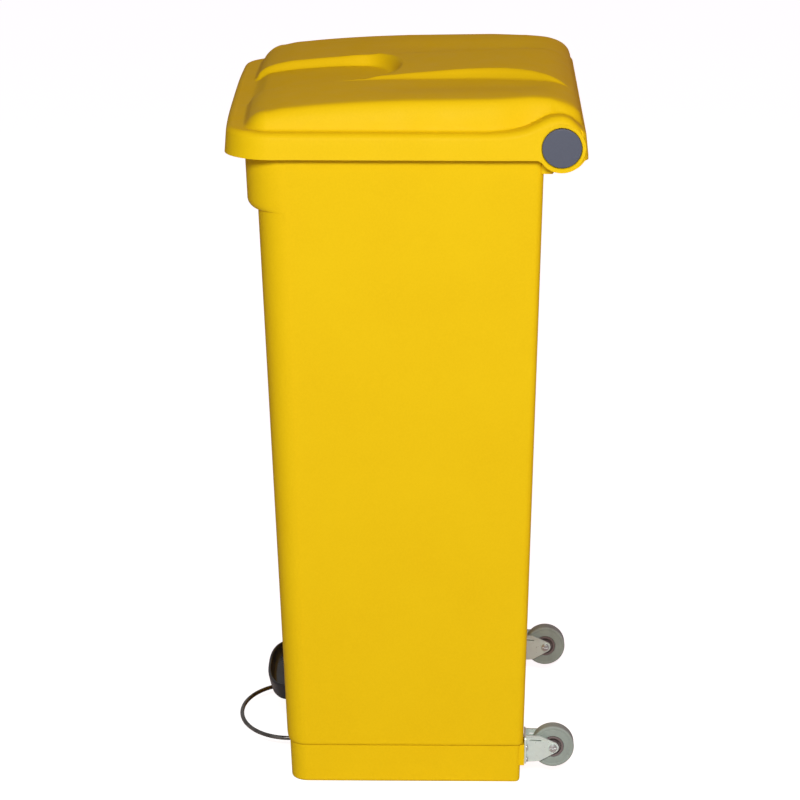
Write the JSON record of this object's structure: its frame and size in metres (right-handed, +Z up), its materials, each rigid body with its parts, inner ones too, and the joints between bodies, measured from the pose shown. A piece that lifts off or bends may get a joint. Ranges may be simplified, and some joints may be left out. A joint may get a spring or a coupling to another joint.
{
  "type": "pedal bin",
  "caption": "Tall tapered pedal bin with a hinged domed lid, foot pedal, push rod, wire stabiliser hoop and rear tilt castors.",
  "frame": {"origin": "on the floor, under the middle of the bin's bounding box", "axes": "+Z up, -Y towards the pedal and the front of the lid, +Y towards the hinge and castors, X along the hinge, pedal and wheel axes"},
  "size_m": [0.505, 0.41, 0.829],
  "materials": {
    "yellow_body": "satin injection-moulded polypropylene",
    "yellow_lid": "satin injection-moulded polypropylene",
    "grey_cap": "fine matt moulded plastic",
    "black_pad": "semi-gloss moulded plastic",
    "nylon": "natural nylon",
    "steel_wire": "bright drawn wire",
    "zinc_steel": "bright zinc plate",
    "grey_tyre": "non-marking grey rubber",
    "hub_plastic": "moulded plastic"
  },
  "bodies": {
    "bin_body": {"tub": "yellow_body", "base_plinth": "yellow_body", "stabiliser_hoop": "steel_wire", "hoop_clip_left": "nylon", "hoop_clip_right": "nylon", "hoop_screw_left": "zinc_steel", "hoop_screw_right": "zinc_steel", "pedal_axle": "steel_wire", "axle_clip_left": "steel_wire", "axle_clip_right": "steel_wire", "rod_guide_lower": "nylon", "rod_guide_upper": "nylon", "castor_bracket_left": "zinc_steel", "wheel_bolt_left": "zinc_steel", "wheel_nut_left": "zinc_steel", "wheel_bush_left": "steel_wire", "castor_bracket_right": "zinc_steel", "wheel_bolt_right": "zinc_steel", "wheel_nut_right": "zinc_steel", "wheel_bush_right": "steel_wire", "castor_screw_left_1": "zinc_steel", "castor_screw_left_2": "zinc_steel", "castor_screw_left_3": "zinc_steel", "castor_screw_left_4": "zinc_steel", "castor_screw_right_1": "zinc_steel", "castor_screw_right_2": "zinc_steel", "castor_screw_right_3": "zinc_steel", "castor_screw_right_4": "zinc_steel"},
    "lid": {"lid_shell": "yellow_lid", "hinge_cap_left": "grey_cap", "hinge_cap_right": "grey_cap", "hinge_pin_left": "nylon", "hinge_pin_right": "nylon"},
    "pedal": {"pedal_pad": "black_pad", "pedal_lever": "zinc_steel", "pedal_bush": "nylon", "pad_screw_left": "zinc_steel", "pad_screw_right": "zinc_steel"},
    "push_rod": {"push_rod": "steel_wire", "rod_clip_lower": "steel_wire", "rod_clip_upper": "steel_wire"},
    "wheel_left": {"wheel_hub_left": "hub_plastic", "tyre_left": "grey_tyre"},
    "wheel_right": {"wheel_hub_right": "hub_plastic", "tyre_right": "grey_tyre"}
  },
  "joints": [
    {"name": "lid_hinge", "type": "hinge", "parent": "bin_body", "child": "lid", "pos_m": [0, 0.175, 0.771], "axis": [-1, 0, 0], "range_deg": [0, 75]},
    {"name": "pedal_hinge", "type": "hinge", "parent": "bin_body", "child": "pedal", "pos_m": [0, 0.012, 0.06], "axis": [1, 0, 0], "range_deg": [0, 13.6]},
    {"name": "rod_slide", "type": "slide", "parent": "bin_body", "child": "push_rod", "axis": [0, 0.0349, 0.9994], "range_m": [0, 0.02843]},
    {"name": "wheel_left_spin", "type": "hinge", "parent": "bin_body", "child": "wheel_left", "pos_m": [-0.181, 0.175, 0.0403], "axis": [1, 0, 0], "continuous": true},
    {"name": "wheel_right_spin", "type": "hinge", "parent": "bin_body", "child": "wheel_right", "pos_m": [0.181, 0.175, 0.0403], "axis": [1, 0, 0], "continuous": true}
  ],
  "couplings": [
    {"joint": "pedal_hinge", "follows": "lid_hinge", "ratio": 0.1813},
    {"joint": "rod_slide", "follows": "lid_hinge", "m_per_rad": 0.02171}
  ]
}
